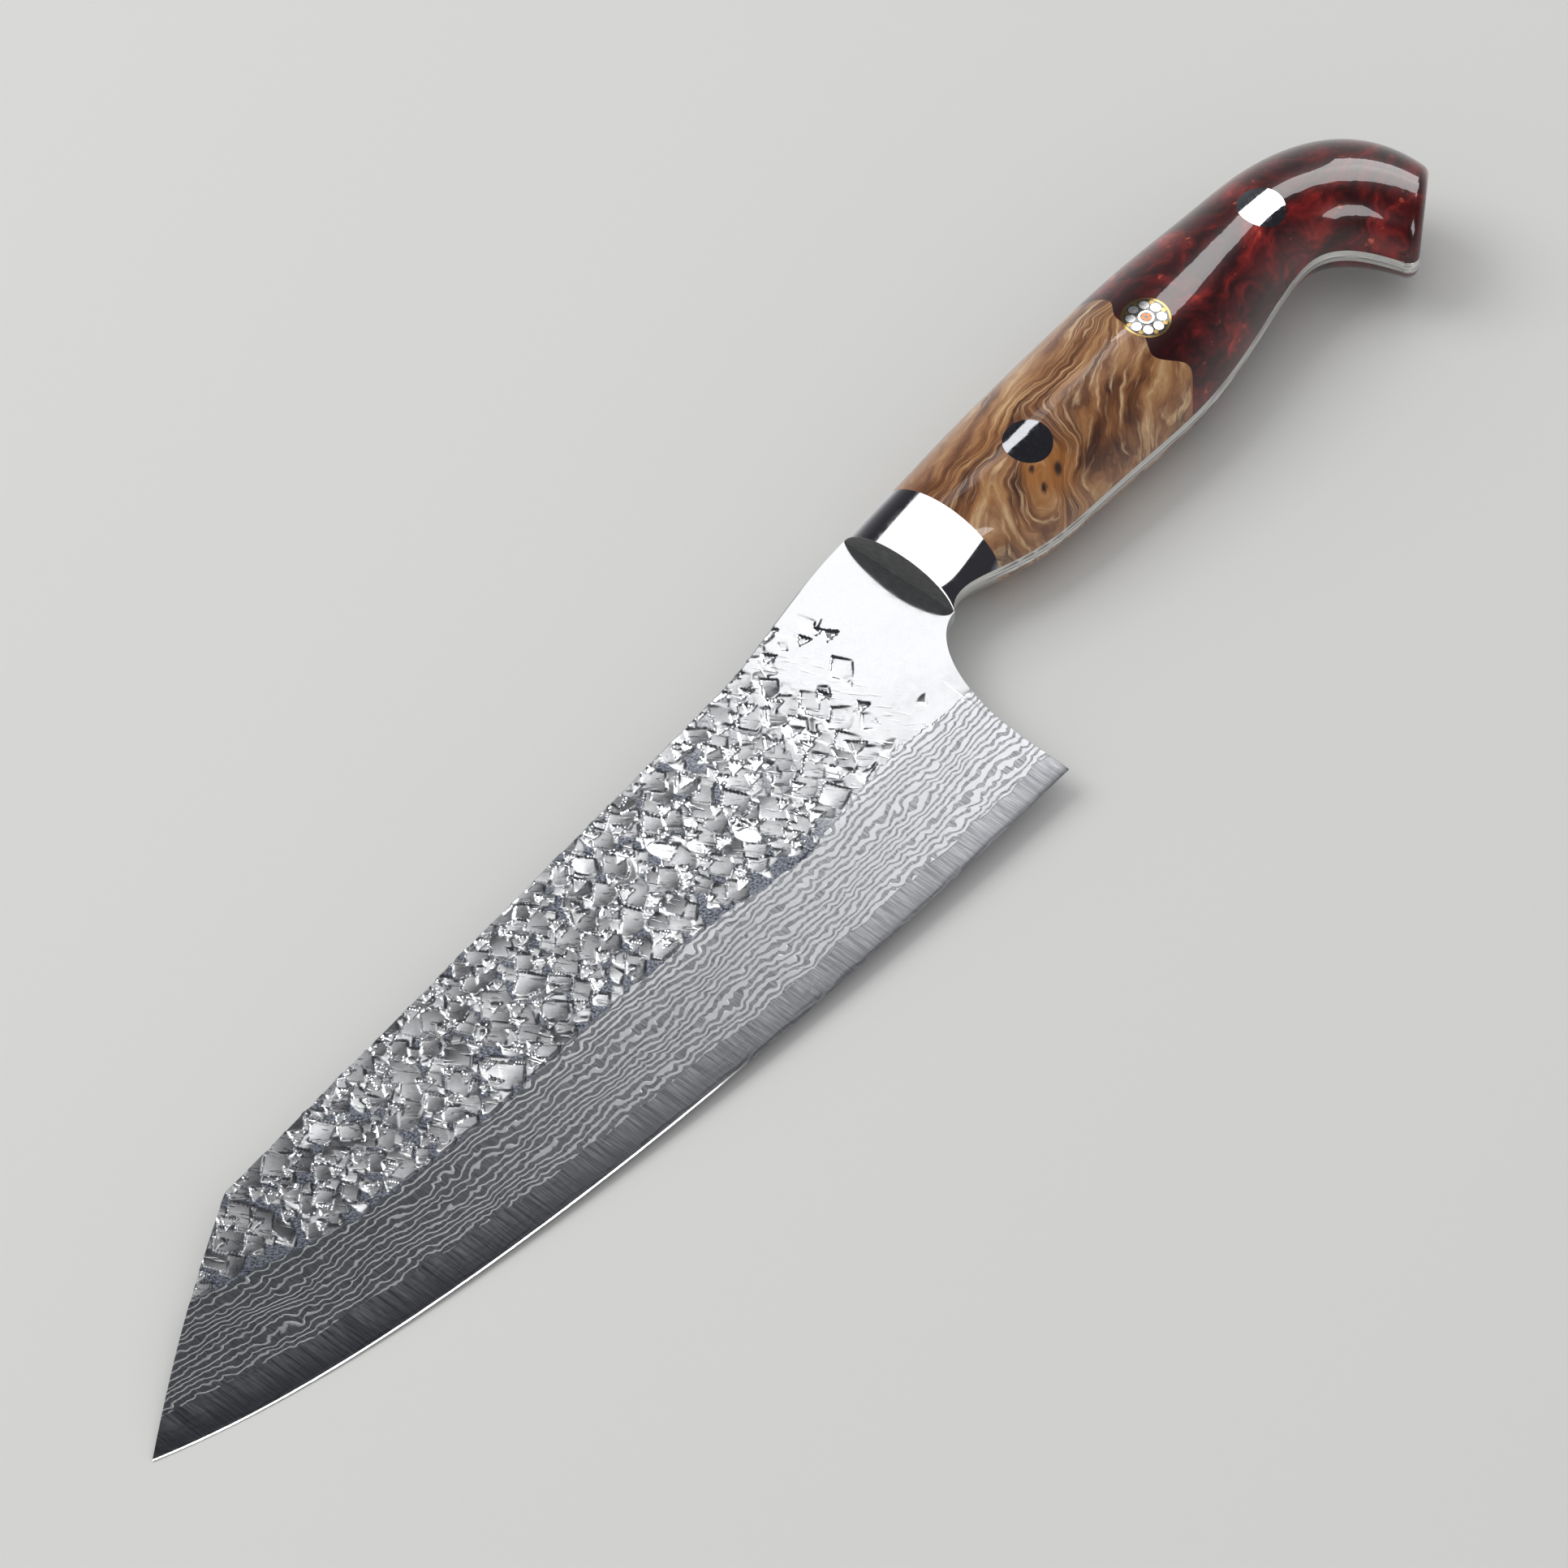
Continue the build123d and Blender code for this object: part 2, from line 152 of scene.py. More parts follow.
# ------------------------------------------------------------------ node shorthand
class Nodes:
    """Shader nodes of one material or world, with short calls to add and join them.
    Each call gives back an output socket."""

    def __init__(self, owner):
        owner.use_nodes = True
        self.tree = owner.node_tree
        self.tree.nodes.clear()

    def add(self, kind, *inputs, out=0, **settings):
        """A node's output; inputs are sockets, values or None, in order, or a dict by
        name. A node that has no outputs is given back itself."""
        node = self.tree.nodes.new(kind)
        for key, value in settings.items():
            setattr(node, key, value)
        for place, value in enumerate(inputs):
            if isinstance(value, dict):
                for key, one in value.items():
                    self.put(node.inputs[key], one)
            else:
                self.put(node.inputs[place], value)
        return node.outputs[out] if len(node.outputs) else node

    def put(self, socket, value):
        """Links a socket to the input, or sets its value; None leaves it alone."""
        if value is None:
            return
        if isinstance(value, bpy.types.NodeSocket):
            self.tree.links.new(value, socket)
        elif socket.type == "RGBA":
            socket.default_value = (*value, 1)
        else:
            socket.default_value = value

    def math(self, operation, *values):
        """One operation on numbers."""
        return self.add("ShaderNodeMath", *values, operation=operation)

    def step(self, value, low, high, new_low=0.0, new_high=1.0, smooth=True):
        """value mapped from low..high, with soft ends."""
        kind = "SMOOTHSTEP" if smooth else "LINEAR"
        return self.add("ShaderNodeMapRange", value, low, high, new_low, new_high,
                        interpolation_type=kind)

    def mix(self, factor, first, second, kind="RGBA"):
        """first where factor is 0, second where it is 1."""
        node = self.tree.nodes.new("ShaderNodeMix")
        node.data_type = kind
        for name, value in (("Factor", factor), ("A", first), ("B", second)):
            self.put([s for s in node.inputs if s.name == name and s.enabled][0], value)
        return [s for s in node.outputs if s.enabled][0]

    def vector(self, operation, first, second=None, out=0):
        """One operation on vectors; out is 1 where it gives a number."""
        node = self.tree.nodes.new("ShaderNodeVectorMath")
        node.operation = operation
        self.put(node.inputs[0], first)
        self.put(node.inputs[1], second)
        return node.outputs[out]

    def scaled(self, vector, scale):
        """vector times a triple, one factor an axis."""
        return self.vector("MULTIPLY", vector, scale)

    def noise(self, vector, scale, detail=2.0, rough=0.5, distortion=0.0, out=0):
        """Noise with so many waves a millimetre along each axis."""
        return self.add("ShaderNodeTexNoise",
                        {"Vector": self.scaled(vector, scale), "Scale": 1.0,
                         "Detail": detail, "Roughness": rough, "Distortion": distortion},
                        out=out)

    def drift(self, vector, scale, amount, detail):
        """Noise as a push, by up to half of amount either way along each axis."""
        push = self.noise(vector, scale, detail=detail, out=1)
        return self.scaled(self.vector("SUBTRACT", push, (0.5, 0.5, 0.5)), amount)

    def ramp(self, value, stops):
        """A colour by value; stops are pairs of a position and a colour."""
        node = self.tree.nodes.new("ShaderNodeValToRGB")
        self.put(node.inputs[0], value)
        band = node.color_ramp
        while len(band.elements) < len(stops):
            band.elements.new(0.5)
        for element, (position, colour) in zip(band.elements, stops):
            element.position = position
            element.color = (*colour, 1)
        return node.outputs[0]

    def attribute(self, name):
        """A number that the mesh holds for each vertex."""
        node = self.tree.nodes.new("ShaderNodeAttribute")
        node.attribute_name = name
        return node.outputs["Fac"]

    def split(self, vector):
        """The three parts of a vector."""
        return [self.add("ShaderNodeSeparateXYZ", vector, out=i) for i in range(3)]

    def knife_place(self):
        """The shaded point in the knife frame, in millimetres."""
        point = self.add("ShaderNodeTexCoord", out=3)
        back = TURN.transposed()
        node = self.tree.nodes.new("ShaderNodeMapping")
        self.put(node.inputs["Vector"], point)
        node.inputs["Location"].default_value = -(back @ ORIGIN) / MM
        node.inputs["Rotation"].default_value = back.to_euler()
        node.inputs["Scale"].default_value = (1 / MM,) * 3
        return node.outputs[0]

    def turned(self, vector):
        """A direction of the knife frame as a direction of the scene."""
        parts = [self.vector("DOT_PRODUCT", vector, tuple(row), out=1) for row in TURN]
        return self.add("ShaderNodeCombineXYZ", *parts)

    def bump(self, height, distance):
        """distance: how many millimetres a height of 1 stands out."""
        return self.add("ShaderNodeBump", {"Height": height, "Distance": distance * MM})

    def surface(self, **inputs):
        """The material's shader; inputs by name, with _ for each space."""
        shader = self.tree.nodes.new("ShaderNodeBsdfPrincipled")
        for name, value in inputs.items():
            self.put(shader.inputs[name.replace("_", " ")], value)
        output = self.tree.nodes.new("ShaderNodeOutputMaterial")
        self.tree.links.new(shader.outputs[0], output.inputs[0])


def new_material(name):
    """A material and its nodes."""
    material = bpy.data.materials.new(name)
    return material, Nodes(material)


# ------------------------------------------------------------------ studio
def make_world():
    """Pale to the camera; to metal, a dark studio that pales towards the horizon."""
    world = bpy.data.worlds.new("studio")
    bpy.context.scene.world = world
    n = Nodes(world)
    direction = n.add("ShaderNodeTexCoord", out=0)
    height = n.add("ShaderNodeSeparateXYZ", direction, out=2)
    seen = n.ramp(height, [(0.0, (0.62, 0.62, 0.61)), (0.30, (0.42, 0.42, 0.43)),
                           (0.62, (0.14, 0.14, 0.15)), (0.80, (0.03, 0.03, 0.035))])
    path = n.tree.nodes.new("ShaderNodeLightPath")
    even = n.mix(path.outputs["Is Glossy Ray"], (0.66, 0.67, 0.69), seen)
    shown = n.mix(path.outputs["Is Camera Ray"], even, (0.86, 0.86, 0.84))
    background = n.add("ShaderNodeBackground", shown, 1.0)
    n.add("ShaderNodeOutputWorld", background)


FLOOR_REACH = 6.0  # metres


def make_floor():
    """A pale, plain table top."""
    material, n = new_material("pale_floor")
    n.surface(Base_Color=(0.68, 0.675, 0.65), Roughness=0.85)
    mesh = bpy.data.meshes.new("floor")
    far = FLOOR_REACH
    mesh.from_pydata([(-far, -far, 0), (far, -far, 0), (far, far, 0), (-far, far, 0)],
                     [], [(0, 1, 2, 3)])
    mesh.materials.append(material)
    floor = bpy.data.objects.new("floor", mesh)
    bpy.context.collection.objects.link(floor)


# ------------------------------------------------------------------ blade shape
def eased(start, end, share):
    """From start to end with a level beginning and end."""
    share = (1 - np.cos(np.pi * np.clip(share, 0, 1))) / 2
    return start + (end - start) * share


def edge_height(x):
    """Y of the cutting edge."""
    along = np.clip((-x - HEEL_SETBACK) / (BLADE_LENGTH - HEEL_SETBACK), 0, None)
    sweep = HEEL_DROP - TIP_DROP - EDGE_STRAIGHT_RISE - EDGE_BELLY_RISE
    rise = EDGE_STRAIGHT_RISE * along + EDGE_BELLY_RISE * along**2.5 + sweep * along**10
    return rise - HEEL_DROP


def top_height(x):
    """Spine and clip."""
    spine = eased(NECK_TOP, SPINE_TOP, -x / NECK_LENGTH)
    share = np.clip((-x - BLADE_LENGTH + CLIP_LENGTH) / CLIP_LENGTH, 0, 1)
    clip = SPINE_TOP - (SPINE_TOP + TIP_DROP) * share + 4.4 * CLIP_BULGE * share * (1 - share)
    return np.where(share > 0, np.minimum(spine, clip), spine)


def bottom_height(x):
    """Edge, and behind the heel the choil, which curves up to the bolster."""
    share = np.clip(-x / HEEL_SETBACK, 0, 1)
    low, high = CHOIL_RISE - HEEL_DROP, -NECK_BOTTOM
    curve = high + (low - high) * (1 - np.sqrt(np.clip(1 - share**1.9, 0, 1)))
    return np.where(share < 1, curve, edge_height(x))


def half_flat(x):
    """Half of the thickness over the bevels."""
    return TANG_THICKNESS / 2 + (TANG_THICKNESS - TIP_THICKNESS) / 2 * x / BLADE_LENGTH


def half_thickness(x, y):
    """Half of the smooth blade's thickness: flat, ground bevel and hone."""
    share = np.clip((-x - HEEL_SETBACK) / (BLADE_LENGTH - HEEL_SETBACK), 0, 1)
    bevel = BEVEL_HEIGHT_HEEL + (BEVEL_HEIGHT_TIP - BEVEL_HEIGHT_HEEL) * share
    above = y - edge_height(x)
    hone = HONE_THICKNESS / 2
    ground = hone + (half_flat(x) - hone) * (above - HONE_HEIGHT) / (bevel - HONE_HEIGHT)
    honed = EDGE_THICKNESS / 2 + (hone - EDGE_THICKNESS / 2) * above / HONE_HEIGHT
    return np.minimum(half_flat(x), np.where(above < HONE_HEIGHT, honed, ground))


# ------------------------------------------------------------------ hammer marks
HAMMER_LINE = np.array([  # lower border of the hammered part, from tip to bolster
    (-175, 4.0), (-163, 1.0), (-141, -7.5), (-116, -11.1), (-93, -12.3), (-73, -14.4),
    (-50, -18.6), (-27, -16.8), (-19, -18.2), (-12, -19.0), (0, -19.5)])
HAMMER_FADE = 2.0         # over which the marks set in above that line
MARKS_X = (-180, -6)      # where marks may lie
MARKS_Y = (-24, 16)
BARE_NECK = 13            # no marks so close to the bolster
CROWD_LENGTH = 20         # from there to where they are as close as anywhere
CROWD_POWER = 1.6
DEEPEST_MARK = 0.55
MARK_DEPTH = (-44, -14), (1.0, 0.35)  # marks get shallower between these X
MARKS_SEED = 11

# Square blows of the hammer's face: a cell of the grid that holds one, half its size,
# its depth, the slope of its floor, and how far the slope's direction strays
BLOWS = ((2.5, (0.9, 1.9), (0.02, 0.10), (0.03, 0.09), 9.0),
         (3.8, (1.7, 2.6), (0.14, 0.26), (0.05, 0.11), 0.8))
BLOW_SIDES = [math.radians(angle) for angle in (-51, 26, 129, 206)]
BLOW_LEAN = BLOW_SIDES[2]
BLOW_BORDER = (0.3, 2.6)  # least distance from the border, drawn for each mark
BLOW_HOLLOW = 0.012       # how much shallower a floor gets, over a millimetre squared
MARK_WALL = 0.22          # width of the walls round a mark
MARK_FLUSH = 0.03         # a floor shallower than this fades out
MARK_CORNERS = 1.6        # how much farther than its sides a mark's corners reach

# Triangular notches of the hammer's corner, likewise
NOTCH_CELL = 4.3
NOTCH_SIZE = (0.6, 1.0)
NOTCH_DEPTH = (0.32, 0.42)
NOTCH_SLOPE = (0.08, 0.16)
NOTCH_SIDES = [math.radians(angle) for angle in (30, 142, 264)]
NOTCH_LEAN = BLOW_SIDES[0]
NOTCH_BORDER = (1.2, 3.2)


def hammer_border(x):
    """Y of the lower border of the hammered part."""
    return np.interp(x, HAMMER_LINE[:, 0], HAMMER_LINE[:, 1])


def place_marks(draw, cell, border):
    """Centres of hammer marks: one a cell, thinning out towards the bolster."""
    centres = []
    for cell_x in np.arange(*MARKS_X, cell):
        for cell_y in np.arange(*MARKS_Y, cell):
            centre = cell_x + draw.uniform(0, cell), cell_y + draw.uniform(0, cell)
            inside = centre[1] - hammer_border(centre[0])
            crowd = np.clip((-centre[0] - BARE_NECK) / CROWD_LENGTH, 0, 1) ** CROWD_POWER
            if inside > draw.uniform(*border) and draw.uniform() < crowd:
                centres.append(centre)
    return centres


def strike(depth, x, y, centre, sides, low, slope, lean, hollow=0.0):
    """Puts one mark into depth: a floor between straight sides, each (direction,
    distance), that gets deeper in the direction lean. It takes the place of the marks
    under it."""
    reach = max(distance for _, distance in sides) * MARK_CORNERS
    first, last = np.searchsorted(x, (centre[0] - reach, centre[0] + reach))
    if first == last:
        return
    near = slice(first, last)
    px, py = x[near] - centre[0], y[:, near] - centre[1]
    outside = np.full_like(py, -np.inf)
    for direction, distance in sides:
        across = px * math.cos(direction) + py * math.sin(direction) - distance
        outside = np.maximum(outside, across)
    floor = low + slope * math.cos(lean) * px + slope * math.sin(lean) * py
    floor = np.clip(floor - hollow * (px ** 2 + py ** 2), 0.0, DEEPEST_MARK)
    cover = np.clip(-outside / MARK_WALL, 0, 1) * np.clip(floor / MARK_FLUSH, 0, 1)
    depth[:, near] += (floor - depth[:, near]) * cover


def hammer_marks(side, x, y):
    """Depth of the hammered marks at x, y: small uneven blows, larger ones over them
    that lean the same way, then deep notches that lean the other way."""
    draw = np.random.default_rng(MARKS_SEED + side)
    depth = np.zeros_like(y)
    for cell, sizes, lows, slopes, stray in BLOWS:
        for centre in place_marks(draw, cell, BLOW_BORDER):
            turn = draw.normal(0, 0.14)
            size = draw.uniform(*sizes)
            sides = [(angle + turn + draw.normal(0, 0.08), size * draw.uniform(0.7, 1.1))
                     for angle in BLOW_SIDES]
            lean = BLOW_LEAN + draw.normal(0, stray)
            slope = draw.uniform(*slopes)
            low = draw.uniform(*lows)
            strike(depth, x, y, centre, sides, low, slope, lean, BLOW_HOLLOW)
    for centre in place_marks(draw, NOTCH_CELL, NOTCH_BORDER):
        turn = draw.normal(0, 0.13)
        size = draw.uniform(*NOTCH_SIZE)
        sides = [(angle + turn, size) for angle in NOTCH_SIDES]
        slope = draw.uniform(*NOTCH_SLOPE)
        strike(depth, x, y, centre, sides, draw.uniform(*NOTCH_DEPTH), slope, NOTCH_LEAN)
    return depth * np.interp(x, *MARK_DEPTH)


def ripples(side, x, y):
    """Slow unevenness of the forged skin."""
    return 0.014 * np.sin(x / 3.1 + side) * np.cos(y / 2.3 + 0.4 * np.sin(x / 5.0))


# ------------------------------------------------------------------ blade mesh
ROWS = 192
ROW_SHARES = (0.0, 0.2, 1.0), (0.0, 0.38, 1.0)  # more rows to the hammered part
COLUMN_STEP = 0.21
NECK_COLUMNS = 42
TIP_SETBACK = 0.05        # the mesh starts this far behind the very tip
EDGE_ROWS = (0.0, 0.35, HONE_HEIGHT)  # heights of the lowest rows over the edge
SPINE_EASING = 0.12       # taken off both arrises of the spine
SHARP_ANGLE = math.radians(13)


def side_grid():
    """X and Y of the points of one side: the blade's, the neck's, whose rows go on from
    the heel's, and the heel's row at which the choil curves away to the neck."""
    main_x = np.arange(-BLADE_LENGTH + TIP_SETBACK, -HEEL_SETBACK, COLUMN_STEP)
    main_x = np.append(main_x, -HEEL_SETBACK)
    low = edge_height(main_x)
    room = top_height(main_x) - low
    honed = np.minimum(np.array(EDGE_ROWS)[:, None], room * 0.3)
    shares = np.linspace(0, 1, ROWS - len(EDGE_ROWS) + 1)[1:, None]
    shares = np.interp(shares, *ROW_SHARES)
    main_y = np.vstack([low + honed, low + honed[-1] + shares * (room - honed[-1])])

    heel = main_y[:, -1]
    start = int(np.argmin(abs(heel - heel[0] - CHOIL_RISE)))
    neck_x = np.linspace(-HEEL_SETBACK, 0, NECK_COLUMNS + 1)[1:]
    neck_low = bottom_height(neck_x) + (heel[start] - heel[0] - CHOIL_RISE)
    neck_low[-1] = -NECK_BOTTOM
    shares = (heel[start:] - heel[start]) / (heel[-1] - heel[start])
    neck_y = neck_low + shares[:, None] * (top_height(neck_x) - neck_low)
    return (main_x, main_y), (neck_x, neck_y), start


def side_points(side, x, y):
    """Points of a grid on one side, hammered, and the depth of their marks."""
    x_grid = np.broadcast_to(x, y.shape)
    set_in = np.clip((y - hammer_border(x_grid)) / HAMMER_FADE, 0, 1)
    marks = hammer_marks(side, x, y) * np.clip(set_in * 3, 0, 1)
    z = half_thickness(x_grid, y) - marks - ripples(side, x_grid, y) * set_in
    z[-1] -= SPINE_EASING
    return np.stack([x_grid, y, side * z], -1).reshape(-1, 3), marks.ravel()


def strip(one, other, flip=False):
    """Faces between two rows of vertex numbers, or two stacks of such rows."""
    faces = np.stack([one[..., :-1], one[..., 1:], other[..., 1:], other[..., :-1]], -1)
    faces = faces.reshape(-1, 4)
    return faces[:, ::-1] if flip else faces


def blade_faces(grids, start):
    """Both sides, then the strips that close them: edge, spine, tip, bolster and heel."""
    faces = [strip(grid[:-1], grid[1:], flip=side < 0)
             for side, pair in grids for grid in pair]
    (_, (left, left_neck)), (_, (right, right_neck)) = grids
    heel = slice(None, start + 1)
    rims = [(left[0], right[0], True), (left[-1], right[-1], False),
            (left_neck[0], right_neck[0], True), (left_neck[-1], right_neck[-1], False),
            (left[:, 0], right[:, 0], False), (left_neck[:, -1], right_neck[:, -1], True),
            (left[heel, -1], right[heel, -1], True)]
    return np.vstack(faces + [strip(*rim) for rim in rims])


def make_blade():
    """The whole blade before the bolster as one closed mesh."""
    main, neck, start = side_grid()
    points, struck, grids = [], [], []
    total = 0
    for side in (1, -1):
        numbers = []
        for x, y in (main, neck):
            places, marks = side_points(side, x, y)
            points.append(places)
            struck.append(marks)
            numbers.append(total + np.arange(y.size).reshape(y.shape))
            total += y.size
        heel_column = numbers[0][start:, -1:]
        grids.append((side, (numbers[0], np.hstack([heel_column, numbers[1]]))))
    points = np.vstack(points)
    faces = blade_faces(grids, start)

    mesh = bpy.data.meshes.new("blade")
    mesh.vertices.add(len(points))
    mesh.vertices.foreach_set("co", placed(points).astype(np.float32).ravel())
    mesh.loops.add(faces.size)
    mesh.loops.foreach_set("vertex_index", faces.astype(np.int32).ravel())
    mesh.polygons.add(len(faces))
    mesh.polygons.foreach_set("loop_start", np.arange(0, faces.size, 4, dtype=np.int32))
    mesh.update(calc_edges=True)
    x, y = points[:, 0], points[:, 1]
    for name, values in (("above_edge", y - edge_height(x)),
                         ("above_hammer_line", y - hammer_border(x)),
                         ("struck", np.concatenate(struck))):
        attribute = mesh.attributes.new(name, "FLOAT", "POINT")
        attribute.data.foreach_set("value", values.astype(np.float32))
    mesh.set_sharp_from_angle(angle=SHARP_ANGLE)
    mesh.materials.append(blade_material())
    blade = bpy.data.objects.new("blade", mesh)
    bpy.context.collection.objects.link(blade)
    return blade


# ------------------------------------------------------------------ blade material
# Lengths are in millimetres, and noise has so many waves a millimetre
LAYERS_PER_MM = 0.95
CORE_TOP = 2.4            # least height of the core steel over the edge, at the heel
CORE_TOP_RISE = 3.0       # how much more it is at the tip
CORE_TOP_WAVE = 2.8       # how much noise adds to it
HONE_HIGHLIGHT_X = (-80.0, -100.0)  # between these the honed line starts to catch the light


def layer_lines(n, flat, above, tip_shade):
    """1 on the bright lines of the layered steel, 0 on the dark ground between."""
    long_wave = n.noise(flat, (0.055, 0.13, 1), detail=1.0)
    wave = n.noise(flat, (0.19, 0.24, 1), distortion=0.3)
    kink = n.noise(flat, (0.33, 0.30, 1), detail=1.0)
    kink = n.math("ABSOLUTE", n.math("SUBTRACT", kink, 0.5))
    fine = n.noise(flat, (0.9, 0.9, 1))
    layers = n.math("MULTIPLY", above, LAYERS_PER_MM)
    for source, amount in ((long_wave, 4.0), (wave, 1.5), (kink, 2.6), (fine, 0.35)):
        layers = n.math("MULTIPLY_ADD", source, amount, layers)
    cycle = n.math("SINE", n.math("MULTIPLY", layers, 2 * math.pi))
    # Towards the tip fewer lines reach bright: painted shade.
    return n.step(n.math("MULTIPLY_ADD", tip_shade, -1.05, cycle), -0.60, -0.05)


def height_past_core(n, flat, x, above):
    """Height over the wavy upper border of the core steel."""
    wobble = n.noise(flat, (0.16, 0.05, 1), detail=3.0)
    share = n.step(x, -HEEL_SETBACK, -BLADE_LENGTH, smooth=False)
    core_top = n.math("MULTIPLY_ADD", share, CORE_TOP_RISE, CORE_TOP)
    core_top = n.math("MULTIPLY_ADD", wobble, CORE_TOP_WAVE, core_top)
    return n.math("SUBTRACT", above, core_top)


def layered_colour(n, line, stroke, tip_shade):
    """The etched layers: bright lines on a brushed ground, darkened towards the tip as
    painted shade.
    """
    ground = n.mix(tip_shade, (0.25, 0.255, 0.27), (0.085, 0.09, 0.10))
    brushed = n.mix(tip_shade, (0.52, 0.53, 0.545), (0.16, 0.165, 0.18))
    bright = n.mix(tip_shade, (0.68, 0.69, 0.71), (0.58, 0.59, 0.60))
    hair = n.step(stroke, 0.42, 0.62)
    return n.mix(line, n.mix(hair, ground, brushed), bright)


def core_colour(n, flat, stroke, past_core, tip_shade):
    """The core, brushed across the edge, darker towards the edge, and darkened towards the
    tip as painted shade.
    """
    long_stroke = n.noise(flat, (2.6, 0.10, 1))
    streak = n.math("MULTIPLY", n.step(stroke, 0.1, 0.8), n.step(long_stroke, 0.2, 0.7))
    streak = n.math("MULTIPLY", streak, n.step(past_core, -5.5, -0.5, 0.25, 1.0))
    deep = n.mix(tip_shade, (0.24, 0.245, 0.26), (0.05, 0.052, 0.06))
    pale = n.mix(tip_shade, (0.66, 0.67, 0.69), (0.24, 0.245, 0.26))
    return n.mix(streak, deep, pale)


def hammered_colour(n, flat, x):
    """Bright where a blow has struck and all over the neck, dark forge skin between."""
    speckle = n.noise(flat, (2.6, 2.6, 1), detail=3.0, rough=0.7)
    skin = n.mix(n.step(speckle, 0.35, 0.65), (0.05, 0.056, 0.075), (0.30, 0.32, 0.37))
    steel = n.mix(speckle, (0.64, 0.65, 0.665), (0.76, 0.77, 0.785))
    is_struck = n.step(n.attribute("struck"), 0.0, 0.03)
    return n.mix(n.math("MAXIMUM", is_struck, n.step(x, -52.0, -30.0)), skin, steel)


def hammered_relief(n, flat, x, y):
    """Fine scuffs, and raised burrs that run aslant over the blows."""
    scuff = n.noise(flat, (1.1, 1.1, 1), detail=4.0, rough=0.6)
    along = n.math("MULTIPLY_ADD", x, 0.44, n.math("MULTIPLY", y, -0.90))
    across = n.math("MULTIPLY_ADD", x, 0.90, n.math("MULTIPLY", y, 0.44))
    burr = n.add("ShaderNodeCombineXYZ", along, across, 0.0)
    burr = n.noise(burr, (0.26, 1.3, 1), distortion=0.4)
    return n.math("MULTIPLY_ADD", n.step(burr, 0.58, 0.72), 8.0, scuff)


def blade_material():
    """Polished hammered steel, etched layers on the bevel, a brushed core at the edge."""
    material, n = new_material("layered_steel")
    x, y, z = n.split(n.knife_place())
    above = n.attribute("above_edge")
    flat = n.add("ShaderNodeCombineXYZ", x, above, 0.0)
    # 0 behind the heel to 1 near the tip: how much painted shade darkens the etched steel and
    #                                      the core.
    tip_shade = n.step(x, -25.0, -150.0)
    stroke = n.noise(flat, (7.0, 0.35, 1), detail=3.0, rough=0.6)
    line = layer_lines(n, flat, above, tip_shade)
    past_core = height_past_core(n, flat, x, above)
    is_cladding = n.step(past_core, -0.08, 0.10)
    ragged = n.noise(flat, (0.5, 0.5, 1), detail=3.0)
    past_border = n.math("SUBTRACT", n.attribute("above_hammer_line"), 1.2)
    is_hammered = n.step(n.math("MULTIPLY_ADD", ragged, 2.4, past_border), -0.2, 0.35)
    # Painted highlight: the honed strip is real, but from x -80 to the tip it is painted near
    # white and its normal leaned towards the lamps, where it catches the light.
    hone_highlight = n.math("MULTIPLY", n.step(above, 0.30, 0.22), n.step(x, *HONE_HIGHLIGHT_X))

    core = core_colour(n, flat, stroke, past_core, tip_shade)
    etched = n.mix(is_cladding, core, layered_colour(n, line, stroke, tip_shade))
    colour = n.mix(is_hammered, etched, hammered_colour(n, flat, x))
    # The honed strip painted near white: painted highlight.
    colour = n.mix(hone_highlight, colour, (0.95, 0.95, 0.95))

    etched_rough = n.step(line, 0, 1, 0.42, 0.30, smooth=False)
    patches = n.noise(flat, (0.6, 0.6, 1), detail=4.0)
    polished_rough = n.step(patches, 0.3, 0.7, 0.15, 0.26, smooth=False)
    polished_rough = n.math("MULTIPLY", polished_rough, n.step(x, -14.0, -40.0, 0.5, 1.0))
    rough = n.mix(is_hammered, etched_rough, polished_rough, "FLOAT")

    etch = n.math("MULTIPLY", line, is_cladding)
    etch = n.math("MULTIPLY_ADD", etch, 0.7, n.math("MULTIPLY", stroke, 0.5))
    etch = n.math("MULTIPLY", etch, n.math("SUBTRACT", 1.0, is_hammered))
    rumpled = n.math("MULTIPLY", is_hammered, n.step(x, -14.0, -34.0))
    rumpled = n.math("MULTIPLY", hammered_relief(n, flat, x, y), rumpled)
    relief = n.math("MULTIPLY_ADD", rumpled, 0.09, etch)
    hone_facing = n.add("ShaderNodeCombineXYZ", 0.30, -0.06, n.math("SIGN", z))
    n.surface(Base_Color=colour, Metallic=1.0, Roughness=rough,
              Normal=n.mix(hone_highlight, n.bump(relief, 0.035), n.turned(hone_facing), "VECTOR"))
    return material


# ------------------------------------------------------------------ tang
TANG_NODES = ("blade_core", "blade_cladding_left", "blade_cladding_right")
TANG_SHARP_ANGLE = math.radians(30)
WELD_DISTANCE = 1e-7      # metres


def tang_material():
    """Steel ground along the tang."""
    material, n = new_material("tang_steel")
    grain = n.noise(n.knife_place(), (0.25, 6.0, 6.0), detail=3.0)
    n.surface(Base_Color=n.mix(grain, (0.62, 0.62, 0.60), (0.84, 0.84, 0.82)),
              Metallic=1.0, Roughness=0.34, Normal=n.bump(grain, 0.01))
    return material


